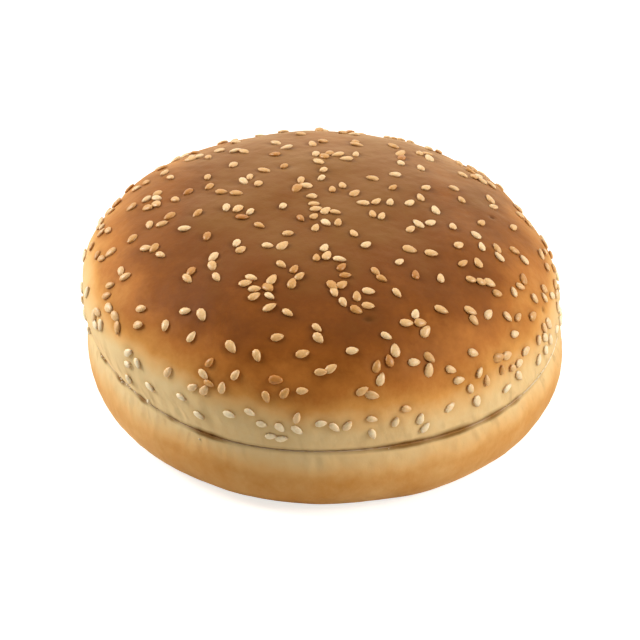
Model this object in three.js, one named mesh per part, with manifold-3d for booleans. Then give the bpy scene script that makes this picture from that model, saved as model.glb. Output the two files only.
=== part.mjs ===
// A sesame burger bun, cut through level into two halves: a domed crown with
// sesame seeds baked onto it, and the heel that it rests on. Millimetres, +Z up,
// the origin in the middle of the heel's flat base, -Y the side that was photographed.
import * as THREE from "three";
import { ConvexGeometry } from "three/addons/geometries/ConvexGeometry.js";
import { mergeVertices } from "three/addons/utils/BufferGeometryUtils.js";
import Module from "manifold-3d";

const wasm = await Module();
wasm.setup();

// The bun as a whole
const BUN_RADIUS = 60; // at the widest, on the crown and on the heel
const BUN_HEIGHT = 55;
const CUT_HEIGHT = 20; // of the knife cut, above the middle of the base
const CUT_GAP = 0.7; // the crown lies this far off the heel
const CUT_BOW = 0.5; // the middle of the cut lies this far below its rim
const RIM_RADIUS = 59.2; // of both halves where the cut comes out

// The crown
const CROWN_WIDEST = 27; // height of its widest ring
const DOME_POWER = 2.35; // 2 is a plain ellipse, more has fuller shoulders
const DOME_LEAN = [-4.7, -1.7]; // how far the apex stands off the middle, in X and Y
const CROWN_EDGE = 0.5; // rounding of its cut edge

// The heel
const HEEL_WIDEST = 13;
const HEEL_POWER = 2.4;
const BASE_RADIUS = 50; // of the flat that it rests on
const HEEL_EDGE = 0.4; // rounding of its cut edge

// Low waves in the outlines and in the cut, as [waves round the bun, height, phase in radians]
const CROWN_WAVES = [
  [2, 0.95, -1.76],
  [3, 0.35, 2.86],
  [5, 0.2, 0.7],
];
const HEEL_WAVES = [
  [1, 0.8, 2.27],
  [2, 0.75, 0.71],
  [3, 0.5, -0.81],
];
const RIM_WAVES = [
  [1, 0.4, 2.27],
  [2, 0.3, -0.85],
  [3, 0.13, -1.54],
  [5, 0.1, 0.7],
];
const RIM_REACH = 8; // height off the cut over which a half's own waves take over from the rim's
const CUT_WAVES = [
  [1, 0.88, -2.77],
  [2, 0.36, -0.4],
  [3, 0.45, 3.07],
  [5, 0.48, 0.77],
];

// A sesame seed: a flat drop, pressed a little into the crust
const SEED_LENGTH = 3.4;
const SEED_WIDTH = 2.35;
const SEED_PROUD = 0.7; // how far it stands out of the crust
const SEED_SUNK = 0.25; // how far its widest outline lies under the crust
const SEED_TAPER = 0.25; // how much narrower the pointed end is
const SEED_SHAPES = 0.12; // share by which seeds differ in size

// How the seeds fell: in small groups, denser towards the top of the dome
const SEED_GROUPS = 226;
const GROUP_SHARES = [0.53, 0.74, 0.88, 0.95, 1]; // of groups with at most 1, 2, 3, 4 and 5 seeds
const GROUP_SCATTER = 3.5; // how far a group lies off the even spiral
const GROUP_CROWDING = 1.12; // 1 spreads the groups evenly over the crust
const SEED_SPACING = 2.1; // least distance between the middles of two seeds
const RIM_CLEARANCE = 2.6; // from a seed's middle to the cut edge, along the crust
const FIRST_DRAW = 7;

// How finely the halves and the seeds are faceted
const SEGMENTS = 54;
const DOME_STEPS = 11;
const SIDE_STEPS = 2;
const EDGE_STEPS = 2;
const SEED_SIDES = 6;

const GOLDEN_ANGLE = Math.PI * (3 - Math.sqrt(5));

// The steps 1/count, 2/count ... 1.
function steps(count) {
  return Array.from({ length: count }, (_, i) => (i + 1) / count);
}

// The sum of low waves at an azimuth.
function waves(list, azimuth) {
  return list.reduce(
    (sum, [count, height, phase]) => sum + height * Math.cos(count * azimuth + phase),
    0,
  );
}

// Returns a function that gives the next number, from 0 to 1, of one fixed sequence.
function makeDraw(start) {
  let state = start;
  return () => {
    state = (Math.imul(1664525, state) + 1013904223) >>> 0;
    return state / 2 ** 32;
  };
}

// The crown's outside as [radius, height] points, from the apex down to where its cut edge starts.
function crownOutside(domeSteps, sideSteps) {
  const sideFoot = CUT_HEIGHT + CUT_GAP / 2 + CROWN_EDGE;
  const dome = steps(domeSteps).map((t) => [
    BUN_RADIUS * Math.sin((t * Math.PI) / 2) ** (2 / DOME_POWER),
    CROWN_WIDEST +
      (BUN_HEIGHT - CROWN_WIDEST) * Math.max(0, Math.cos((t * Math.PI) / 2)) ** (2 / DOME_POWER),
  ]);
  const side = steps(sideSteps).map((t) => [
    BUN_RADIUS - (BUN_RADIUS - RIM_RADIUS) * t ** 2,
    CROWN_WIDEST + (sideFoot - CROWN_WIDEST) * t,
  ]);
  return [[0, BUN_HEIGHT], ...dome, ...side];
}

// A quarter circle from the rim's side in to the cut face, going up (1) or down (-1).
function cutEdge(radius, face, way) {
  return steps(EDGE_STEPS).map((t) => [
    RIM_RADIUS - radius * (1 - Math.cos((t * Math.PI) / 2)),
    face - way * radius * (1 - Math.sin((t * Math.PI) / 2)),
  ]);
}

// The rest of a cut face, from near its edge to the axis.
function cutFace(face) {
  return [
    [RIM_RADIUS * 0.9, face],
    [RIM_RADIUS * 0.5, face],
    [0, face],
  ];
}

// The heel's outside as [radius, height] points, from its cut edge down to the base.
function heelOutside() {
  const top = CUT_HEIGHT - CUT_GAP / 2 - HEEL_EDGE;
  const side = steps(SIDE_STEPS).map((t) => [
    BUN_RADIUS - (BUN_RADIUS - RIM_RADIUS) * (1 - t) ** 2,
    top + (HEEL_WIDEST - top) * t,
  ]);
  const foot = steps(2 * SIDE_STEPS).map((t) => [
    BASE_RADIUS +
      (BUN_RADIUS - BASE_RADIUS) * Math.max(0, Math.cos((t * Math.PI) / 2)) ** (2 / HEEL_POWER),
    HEEL_WIDEST * (1 - Math.sin((t * Math.PI) / 2) ** (2 / HEEL_POWER)),
  ]);
  return [...side, ...foot, [0, 0]];
}

// How far the cut lies above or below CUT_HEIGHT: waves that grow towards the rim, and a bow inside it.
function cutShift(radius, azimuth) {
  const outward = (radius / RIM_RADIUS) ** 2;
  return waves(CUT_WAVES, azimuth) * outward - CUT_BOW * (1 - outward);
}

// A radius waved by a half's own list, or at the cut by the rim's, so that both halves meet there.
function waved(list, radius, height, azimuth) {
  const own = THREE.MathUtils.smoothstep(Math.abs(height - CUT_HEIGHT), 0, RIM_REACH);
  const wave = own * waves(list, azimuth) + (1 - own) * waves(RIM_WAVES, azimuth);
  return radius * (1 + wave / BUN_RADIUS);
}

// A point of the crown from its place on the true round: waved, leaning, and following the cut.
function crownPoint(radius, height, azimuth) {
  const rise = THREE.MathUtils.clamp((height - CUT_HEIGHT) / (BUN_HEIGHT - CUT_HEIGHT), 0, 1);
  const reach = waved(CROWN_WAVES, radius, height, azimuth);
  return new THREE.Vector3(
    reach * Math.cos(azimuth) + DOME_LEAN[0] * rise,
    reach * Math.sin(azimuth) + DOME_LEAN[1] * rise,
    height + cutShift(radius, azimuth) * (1 - rise),
  );
}

// The same for the heel, whose base stays flat.
function heelPoint(radius, height, azimuth) {
  const reach = waved(HEEL_WAVES, radius, height, azimuth);
  return new THREE.Vector3(
    reach * Math.cos(azimuth),
    reach * Math.sin(azimuth),
    height + (cutShift(radius, azimuth) * height) / CUT_HEIGHT,
  );
}

// A closed mesh as a solid, with only its positions kept.
function toSolid(geometry) {
  geometry.deleteAttribute("normal");
  geometry.deleteAttribute("uv");
  const merged = mergeVertices(geometry, 1e-4);
  return new wasm.Manifold(
    new wasm.Mesh({
      numProp: 3,
      vertProperties: new Float32Array(merged.attributes.position.array),
      triVerts: new Uint32Array(merged.index.array),
    }),
  );
}

// A solid as a geometry with flat faces.
function toGeometry(solid) {
  const { vertProperties, triVerts } = solid.getMesh();
  const geometry = new THREE.BufferGeometry()
    .setAttribute("position", new THREE.BufferAttribute(vertProperties, 3))
    .setIndex(new THREE.BufferAttribute(triVerts, 1))
    .toNonIndexed();
  geometry.computeVertexNormals();
  return geometry;
}

// Turns a profile of [radius, height] points round the axis, then moves each point by a rule.
function turned(profile, place) {
  const upward = profile[0][1] > profile.at(-1)[1] ? [...profile].reverse() : profile;
  const points = upward.map(([radius, height]) => new THREE.Vector2(radius, height));
  const geometry = new THREE.LatheGeometry(points, SEGMENTS).rotateX(Math.PI / 2);
  const position = geometry.getAttribute("position");
  for (let i = 0; i < position.count; i++) {
    const radius = Math.hypot(position.getX(i), position.getY(i));
    const azimuth = Math.atan2(position.getY(i), position.getX(i));
    const moved = place(radius, position.getZ(i), azimuth);
    position.setXYZ(i, moved.x, moved.y, moved.z);
  }
  return toSolid(geometry);
}

// The crown's outside by its length down from the apex: the point there, and the area above it.
function measureCrust() {
  const outside = crownOutside(200, 40);
  const rows = [{ down: 0, area: 0, radius: 0, height: BUN_HEIGHT }];
  outside.slice(1).forEach(([radius, height]) => {
    const last = rows.at(-1);
    const step = Math.hypot(radius - last.radius, height - last.height);
    const area = last.area + Math.PI * (radius + last.radius) * step;
    rows.push({ down: last.down + step, area, radius, height });
  });
  return rows;
}

const CRUST = measureCrust();

// The crust's row where a running value, its length down or its area, reaches an amount.
function crustWhere(key, amount) {
  const next = CRUST.findIndex((row) => row[key] >= amount);
  if (next < 1) return CRUST.at(next);
  const [low, high] = [CRUST[next - 1], CRUST[next]];
  const share = (amount - low[key]) / (high[key] - low[key]);
  const between = (name) => low[name] + (high[name] - low[name]) * share;
  return { down: between("down"), radius: between("radius"), height: between("height") };
}

// Where the seeds lie: each a length down the crust, an azimuth, a turn and a size.
function seedPlaces() {
  const draw = makeDraw(FIRST_DRAW);
  const places = [];
  const lowest = CRUST.at(-1).down - RIM_CLEARANCE;
  for (let group = 0; group < SEED_GROUPS; group++) {
    const area = ((group + 0.5) / SEED_GROUPS) ** GROUP_CROWDING * CRUST.at(-1).area;
    const middle = crustWhere("area", area);
    let down = middle.down + GROUP_SCATTER * (2 * draw() - 1);
    let azimuth = group * GOLDEN_ANGLE + (GROUP_SCATTER * (2 * draw() - 1)) / Math.max(middle.radius, 5);
    const size = draw();
    const members = 1 + GROUP_SHARES.filter((share) => size > share).length;
    for (let member = 0; member < members; member++) {
      const turn = Math.PI * draw();
      const scale = 1 + SEED_SHAPES * (2 * draw() - 1);
      down = Math.abs(down);
      const { radius, height } = crustWhere("down", down);
      const point = crownPoint(radius, height, azimuth);
      const clear = places.every((other) => other.point.distanceTo(point) > SEED_SPACING);
      if (clear && down < lowest) places.push({ down, azimuth, turn, scale, point });
      const heading = 2 * Math.PI * draw();
      const stride = SEED_SPACING * (1.05 + 0.75 * draw());
      down += stride * Math.cos(heading);
      azimuth += (stride * Math.sin(heading)) / Math.max(radius, 5);
    }
  }
  return places;
}

// The axes of a seed that lies on the crust: its length, its width, and straight out.
function seedFrame({ down, azimuth, turn, point }) {
  const { radius } = crustWhere("down", down);
  const near = (lower, round) => {
    const row = crustWhere("down", Math.max(down + lower, 0));
    return crownPoint(row.radius, row.height, azimuth + round / Math.max(radius, 1));
  };
  const downward = near(0.3, 0).sub(point).normalize();
  const sideways = near(0, 0.3).sub(near(0, -0.3)).normalize();
  const out = new THREE.Vector3().crossVectors(downward, sideways).normalize();
  const length = downward.clone().applyAxisAngle(out, turn);
  const width = new THREE.Vector3().crossVectors(out, length);
  return new THREE.Matrix4().makeBasis(length, width, out).setPosition(point);
}

// One seed: the hull of a drop-shaped outline just under the crust, a ridge above and a keel below.
function seedSolid(seed) {
  const half = (seed.scale * SEED_LENGTH) / 2;
  const outline = steps(SEED_SIDES).map((t) => {
    const angle = 2 * Math.PI * t;
    const y = (seed.scale * SEED_WIDTH * Math.sin(angle) * (1 - SEED_TAPER * Math.cos(angle))) / 2;
    return new THREE.Vector3(half * Math.cos(angle), y, -SEED_SUNK);
  });
  const ridge = [-0.45, 0.3].map((share) => new THREE.Vector3(half * share, 0, SEED_PROUD));
  const keel = new THREE.Vector3(0, 0, -4 * SEED_SUNK);
  const geometry = new ConvexGeometry([...outline, ...ridge, keel]);
  return toSolid(geometry.applyMatrix4(seedFrame(seed)));
}

// The crown with its seeds fused on.
function crown() {
  const face = CUT_HEIGHT + CUT_GAP / 2;
  const profile = [
    ...crownOutside(DOME_STEPS, SIDE_STEPS),
    ...cutEdge(CROWN_EDGE, face, -1),
    ...cutFace(face),
  ];
  const core = turned(profile, crownPoint);
  return wasm.Manifold.union([core, ...seedPlaces().map(seedSolid)]);
}

// The heel: the plain lower half.
function heel() {
  const face = CUT_HEIGHT - CUT_GAP / 2;
  const profile = [...cutFace(face).reverse(), ...cutEdge(HEEL_EDGE, face, 1).reverse(), ...heelOutside()];
  return turned(profile, heelPoint);
}

function named(name, solid, color) {
  const material = new THREE.MeshStandardMaterial({ color, roughness: 0.55, metalness: 0 });
  const mesh = new THREE.Mesh(toGeometry(solid), material);
  mesh.name = name;
  return mesh;
}

const bun = new THREE.Group();
bun.add(named("crown", crown(), 0x9a5a2c));
bun.add(named("heel", heel(), 0xc08a4e));

export default bun;
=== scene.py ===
"""A sesame burger bun, cut level into a domed crown and a heel, in a pale studio.

Lengths in the fields are in millimetres, and become metres when a mesh or a light
is made. +Z is up, the base lies on z = 0, and -Y is the side that faces the camera.
An azimuth is an angle round the bun in radians, and a side is one in degrees, where
0 is +X and 270 the camera's side. A length is measured along a half's profile, from
its top pole down to its bottom pole.
"""

import logging
import math
from dataclasses import dataclass
from enum import Enum, IntEnum
from typing import Any, Mapping, Sequence

import bpy
import numpy as np
from mathutils import Matrix, Vector
from numpy.typing import NDArray


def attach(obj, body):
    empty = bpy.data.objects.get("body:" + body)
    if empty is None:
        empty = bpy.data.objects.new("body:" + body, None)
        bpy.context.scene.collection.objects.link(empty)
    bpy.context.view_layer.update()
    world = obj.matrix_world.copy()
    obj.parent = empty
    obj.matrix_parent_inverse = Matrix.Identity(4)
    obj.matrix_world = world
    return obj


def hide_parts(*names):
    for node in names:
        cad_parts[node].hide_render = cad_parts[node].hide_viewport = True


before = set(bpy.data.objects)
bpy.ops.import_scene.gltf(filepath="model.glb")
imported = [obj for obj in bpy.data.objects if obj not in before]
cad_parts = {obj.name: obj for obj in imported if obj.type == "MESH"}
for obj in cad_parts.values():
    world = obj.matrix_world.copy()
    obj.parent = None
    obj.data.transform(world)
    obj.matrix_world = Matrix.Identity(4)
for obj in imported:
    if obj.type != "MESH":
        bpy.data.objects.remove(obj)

Array = NDArray[np.float64]

MM = 0.001
FULL_TURN = 2.0 * np.pi
STUDIO_WHITE = "fffdf8"
log = logging.getLogger("bun")


class Field(str, Enum):
    """The numbers kept on the vertices for the finishes to read."""

    BROWNING = "browning"  # 0 where the skin stayed pale, 1 where it baked darkest
    SHADE = "shade"  # painted shade with some scorch: contact shade beside a seed, shadow along the cut; also an empty dent's dark and a crumb's own brown
    TORN = "torn"  # how rough and dry the skin is, near the cut
    TOAST = "toast"  # 0 on a cream seed, 1 on a golden one
    ALONG = "along"  # -1 at a seed's round end, 1 at its pointed end


class Region(IntEnum):
    """Which of a half's two finishes a face takes."""

    CRUST = 0
    CRUMB = 1


class RandomStart(IntEnum):
    """Where each sequence of random numbers for the small pieces starts."""

    STRAYS = 4
    LOST_SEEDS = 5
    TILTS = 6
    SEED_SHAPES = 8
    CRUMBS = 9


class Side(Enum):
    """Where the studio's two panels and its dark side are, in degrees."""

    LEFT = 166.0
    RIGHT = 345.0
    DARK = 256.0


# Number helpers


@dataclass(frozen=True)
class Wave:
    """A low wave round the bun: how many crests, their height in mm, and a phase in radians."""

    count: int
    height: float
    phase: float


def wave_sum(waves: Sequence[Wave], azimuth: Array) -> Array:
    """Adds height * cos(count * azimuth + phase) over the waves.

    Args:
        waves: The waves to add.
        azimuth: Angles round the bun.

    Returns:
        The sum at each angle, in mm.
    """
    total = np.zeros_like(azimuth, dtype=float)
    for wave in waves:
        total = total + wave.height * np.cos(wave.count * azimuth + wave.phase)
    return total


def ease(value: Array) -> Array:
    """Returns t * t * (3 - 2 * t) with t the value held between 0 and 1."""
    t = np.clip(value, 0.0, 1.0)
    return t * t * (3.0 - 2.0 * t)


def bell(distance: Array, width: float) -> Array:
    """Returns exp(-(distance / width) ** 2)."""
    return np.exp(-((distance / width) ** 2))


def unit(vectors: Array) -> Array:
    """Returns the vectors at length 1."""
    return vectors / np.maximum(np.linalg.norm(vectors, axis=-1, keepdims=True), 1e-12)


def distances(points: Array, others: Array) -> Array:
    """Returns the distance from each point to each of the others."""
    return np.linalg.norm(points[:, None, :] - others[None], axis=2)


@dataclass(frozen=True)
class Bias:
    """An amount that is full at one side of the bun and gone a quarter turn from it."""

    side: float
    amount: float
    power: int = 1

    def at(self, azimuth: Array) -> Array:
        """Returns amount * cos(angle from the side) ** power, or 0 past a right angle."""
        return self.amount * np.maximum(0.0, np.cos(azimuth - math.radians(self.side))) ** self.power


@dataclass(frozen=True)
class Stretch:
    """A stretch of the cut: its middle and half width in degrees, and an amount."""

    middle: float
    half_width: float
    amount: float

    def at(self, azimuth: Array) -> Array:
        """Returns amount * exp(-(angle from the middle / half width) ** 2)."""
        away = (np.degrees(azimuth) - self.middle + 180.0) % 360.0 - 180.0
        return self.amount * bell(away, self.half_width)


@dataclass(frozen=True)
class Step:
    """An eased step in the browning, longer on the slow and lit sides."""

    amount: float  # the browning that it adds
    before: float  # how many mm before its place it begins
    length: float
    slow_and_lit_before: float = 0.0
    slow_and_lit_length: float = 0.0

    def share(self, past: Array, slow_and_lit: Array | float = 0.0) -> Array:
        """Returns the eased value of (past + before) / length, where the slow and lit sides' weight adds to
        both: 0 before, 1 after.
        """
        start = past + self.before + self.slow_and_lit_before * slow_and_lit
        return ease(start / (self.length + self.slow_and_lit_length * slow_and_lit))

    def brown(self, past: Array, slow_and_lit: Array | float = 0.0) -> Array:
        """Returns the browning that the step adds at each point."""
        return self.amount * self.share(past, slow_and_lit)


@dataclass(frozen=True)
class Unevenness:
    """Smooth random relief, as a sum of plane waves in random directions."""

    wavelength: float
    height: float
    seed: int
    stretch: tuple[float, float, float] = (1.0, 1.0, 1.0)
    waves: int = 40
    rates: tuple[float, float] = (0.6, 1.4)  # the least and the most crests in a wavelength

    def at(self, points: Array) -> Array:
        """Adds cos(k . p + phase) over the waves, each k of length 2 pi * rate / wavelength.

        Args:
            points: Places in mm, in an array whose last axis is X, Y, Z.

        Returns:
            The relief in mm at each place; two thirds of it lies within the height.
        """
        rng = np.random.default_rng(self.seed)
        directions = unit(rng.normal(size=(self.waves, 3)))
        rates = FULL_TURN / self.wavelength * rng.uniform(*self.rates, size=(self.waves, 1))
        phases = rng.uniform(0.0, FULL_TURN, self.waves)
        flat = points.reshape(-1, 3) * np.array(self.stretch)
        total = np.cos(flat @ (directions * rates).T + phases).sum(axis=1)
        return self.height * math.sqrt(2.0 / self.waves) * total.reshape(points.shape[:-1])


def relief_sum(parts: Sequence[Unevenness], points: Array, start: Array | float = 0.0) -> Array:
    """Returns the start with each kind of unevenness at the points added to it."""
    return sum((part.at(points) for part in parts), start)


class Draws:
    """One fixed sequence of numbers from 0 to 1, by a linear congruence."""

    FACTOR = 1664525
    STEP = 1013904223
    RANGE = 2**32

    def __init__(self, start: int) -> None:
        """Starts the sequence at a whole number."""
        self.state = start

    def next(self) -> float:
        """Returns the next number."""
        self.state = (self.FACTOR * self.state + self.STEP) % self.RANGE
        return self.state / self.RANGE

    def spread(self) -> float:
        """Returns the next number, spread from -1 to 1."""
        return 2 * self.next() - 1


# Mesh helpers


def make_piece(
    name: str,
    points: Array,
    faces: Sequence[Sequence[int]],
    fields: Mapping[Field, Array],
    materials: Sequence[bpy.types.Material],
    regions: Array | None = None,
) -> bpy.types.Object:
    """Makes a smooth mesh object at the origin.

    Args:
        name: The piece's name.
        points: Its vertices in mm.
        faces: Vertex numbers of each face, counter-clockwise from outside.
        fields: A number for each vertex, by field.
        materials: The finishes, in the order of the regions.
        regions: The region of each face, where it has more than one.

    Returns:
        The object, linked to the scene.
    """
    mesh = bpy.data.meshes.new(name)
    mesh.from_pydata((points * MM).tolist(), [], faces)
    mesh.polygons.foreach_set("use_smooth", np.ones(len(faces), dtype=bool))
    for key, values in fields.items():
        layer = mesh.attributes.new(key.value, "FLOAT", "POINT")
        layer.data.foreach_set("value", np.ascontiguousarray(values, dtype=np.float32))
    for material in materials:
        mesh.materials.append(material)
    if regions is not None:
        mesh.polygons.foreach_set("material_index", regions.astype(np.int32))
    mesh.validate()
    mesh.update()
    piece = bpy.data.objects.new(name, mesh)
    bpy.context.collection.objects.link(piece)
    return piece


def round_faces(rows: int, columns: int) -> list[list[int]]:
    """Lists the faces of a closed round: a top pole, rows of points, and a bottom pole.

    The top pole is vertex 0, row r and column c is 1 + r * columns + c, and the
    bottom pole comes last. Each row is closed into a ring.

    Args:
        rows: How many rings lie between the poles.
        columns: How many points each ring has.

    Returns:
        The top fan, the quads row by row, and the bottom fan.
    """
    here = np.arange(columns)
    after = (here + 1) % columns
    last = 1 + rows * columns
    top = np.stack([np.zeros(columns, dtype=int), 1 + here, 1 + after], axis=1)
    upper = 1 + columns * np.arange(rows - 1)[:, None]
    lower = upper + columns
    quads = np.stack([upper + here, lower + here, lower + after, upper + after], axis=-1)
    lowest = last - columns
    bottom = np.stack([lowest + here, np.full(columns, last), lowest + after], axis=1)
    return top.tolist() + quads.reshape(-1, 4).tolist() + bottom.tolist()


def repeated_faces(rows: int, columns: int, count: int) -> list[list[int]]:
    """Lists the faces of equal closed rounds whose vertices follow one another.

    Args:
        rows: How many rings each has between its poles.
        columns: How many points each ring has.
        count: How many rounds there are.

    Returns:
        The faces, round by round. A triangle's last corner is doubled while they are shifted.
    """
    faces = np.array([face if len(face) == 4 else face + face[-1:] for face in round_faces(rows, columns)])
    shifts = np.arange(count) * (2 + rows * columns)
    shifted = faces[None] + shifts[:, None, None]
    return [face[:3] if face[2] == face[3] else face for face in shifted.reshape(-1, 4).tolist()]


def ring_grid(sides: int, ring_angles: Sequence[float]) -> tuple[Array, Array]:
    """Returns the angles round the outline, and down from the top, of a small round's points."""
    return np.meshgrid(np.arange(sides) * FULL_TURN / sides, np.radians(ring_angles))


def spaced(ends: Sequence[float], counts: Sequence[int]) -> Array:
    """Returns lengths in even steps from each end to the next, without the first and the last end."""
    runs = [np.linspace(low, high, count + 1)[1:] for low, high, count in zip(ends, ends[1:], counts)]
    return np.concatenate(runs)[:-1]


# The two halves


@dataclass(frozen=True)
class BunForm:
    """The sizes that both halves share."""

    radius: float = 60.0
    height: float = 55.0
    cut_height: float = 20.0
    cut_gap: float = 0.7
    cut_bow: float = 0.5
    rim_radius: float = 59.2
    cut_waves: tuple[Wave, ...] = (
        Wave(1, 0.88, -2.77),
        Wave(2, 0.36, -0.4),
        Wave(3, 0.45, 3.07),
        Wave(5, 0.48, 0.77),
    )
    rim_waves: tuple[Wave, ...] = (
        Wave(1, 0.4, 2.27),
        Wave(2, 0.3, -0.85),
        Wave(3, 0.13, -1.54),
        Wave(5, 0.1, 0.7),
    )
    rim_reach: float = 8.0

    def cut_shift(self, radius: Array, azimuth: Array) -> Array:
        """Returns the cut's rise: waves * s - bow * (1 - s), with s = (radius / rim's) ** 2."""
        outward = (radius / self.rim_radius) ** 2
        return wave_sum(self.cut_waves, azimuth) * outward - self.cut_bow * (1.0 - outward)

    def waved(self, waves: Sequence[Wave], radius: Array, height: Array, azimuth: Array) -> Array:
        """Returns radius * (1 + w / R), where w goes from the rim's waves at the cut to a half's own.

        Args:
            waves: The half's own waves.
            radius: Radii on the true round, in mm.
            height: Heights over the base, in mm.
            azimuth: Angles round the bun.

        Returns:
            The waved radii in mm.
        """
        own = ease(np.abs(height - self.cut_height) / self.rim_reach)
        wave = own * wave_sum(waves, azimuth) + (1.0 - own) * wave_sum(self.rim_waves, azimuth)
        return radius * (1.0 + wave / self.radius)

    def side(self, foot: float, widest: float, share: Array) -> Array:
        """Returns points of a parabola, from the widest ring at share 0 in to the rim's foot at share 1."""
        radius = self.radius - (self.radius - self.rim_radius) * share**2
        return np.stack([radius, widest + (foot - widest) * share], axis=1)


@dataclass(frozen=True)
class CutEdge:
    """How the soft edges of the cut sag together, dry brown, and stand a little apart in places; painted
    shadow under the crown's lip deepens the brown line.
    """

    closed: float = 0.685
    tears: Unevenness = Unevenness(2.2, 0.06, 15, stretch=(1.0, 1.0, 0.0))
    ragged_side: Bias = Bias(212.0, 1.8, power=8)
    sealed_side: Stretch = Stretch(346.0, 15.0, 1.0)
    sealed_sag: float = 0.1
    sealed_pale: float = 0.8
    least_gap: float = 0.01
    plain_gap: float = BunForm.cut_gap
    wide: float = 0.16  # the opening from which the cut counts as wide
    # the line along the cut is partly the dried rim and partly painted shadow under the crown's lip, darkest
    # where the cut gapes
    brown_reach: tuple[float, float] = (0.55, 0.45)  # mm up the crust: where closed, and more where wide
    brown_closed: tuple[float, float] = (0.26, 0.24)  # on the crust, and more past the edge
    brown_wide: tuple[float, float] = (0.64, -0.2)  # what a wide opening adds to each
    brown_rise: float = 0.8  # the share of its reach over which the line comes up
    brown_full: tuple[float, float] = (-0.05, 0.3)  # mm past the edge where it deepens, and over how many
    brown_end: tuple[float, float] = (2.5, 3.5)  # mm past the edge where it fades, and over how many
    openings: tuple[Stretch, ...] = (
        Stretch(204.0, 2.0, 0.25),
        Stretch(213.5, 2.0, 0.16),
        Stretch(222.5, 2.0, 0.13),
        Stretch(232.0, 1.6, 0.1),
        Stretch(242.5, 5.0, 0.15),
        Stretch(276.0, 9.0, 0.04),
        Stretch(290.0, 7.0, 0.14),
        Stretch(303.0, 5.5, 0.16),
        Stretch(315.0, 4.5, 0.13),
        Stretch(323.0, 2.4, 0.11),
        Stretch(20.0, 14.0, 0.3),
        Stretch(95.0, 16.0, 0.34),
        Stretch(152.0, 12.0, 0.26),
    )

    def opened(self, azimuth: Array) -> Array:
        """Returns the sum of the openings at each angle, in mm."""
        return sum(opening.at(azimuth) for opening in self.openings)

    def scorch_and_shade(self, inward: Array, azimuth: Array) -> Array:
        """Returns how brown the rim is, partly dried and partly painted shadow under the crown's lip: a line
        on the crust, full past the edge, gone 6 mm in.

        The line is short and faint where the cut is closed, long and strong where it
        gapes, and almost gone on the sealed side.

        Args:
            inward: Lengths past the crust's end in mm, negative on the crust.
            azimuth: Angles round the bun.

        Returns:
            The brown from 0 to 1.
        """
        wide = ease(self.opened(azimuth) / self.wide)
        reach = self.brown_reach[0] + self.brown_reach[1] * wide
        inside = ease((inward - self.brown_full[0]) / self.brown_full[1])
        closed = self.brown_closed[0] + self.brown_closed[1] * inside
        gaping = self.brown_wide[0] + self.brown_wide[1] * inside
        strength = (closed + gaping * wide) * (1.0 - self.sealed_pale * self.sealed_side.at(azimuth))
        line = strength * ease((inward + reach) / (self.brown_rise * reach))
        return line * (1.0 - ease((inward - self.brown_end[0]) / self.brown_end[1]))

    def gape(self, points: Array, azimuth: Array) -> Array:
        """Returns how much wider the gap is than in the plain form: openings and tears, less the sag.

        Args:
            points: Surface points in mm.
            azimuth: Their angles round the bun.

        Returns:
            The widening in mm, which always leaves the least gap.
        """
        torn = (1.0 + self.ragged_side.at(azimuth)) * self.tears.at(points)
        sag = self.closed + self.sealed_sag * self.sealed_side.at(azimuth)
        return np.maximum(self.opened(azimuth) - sag + torn, self.least_gap - self.plain_gap)


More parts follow.
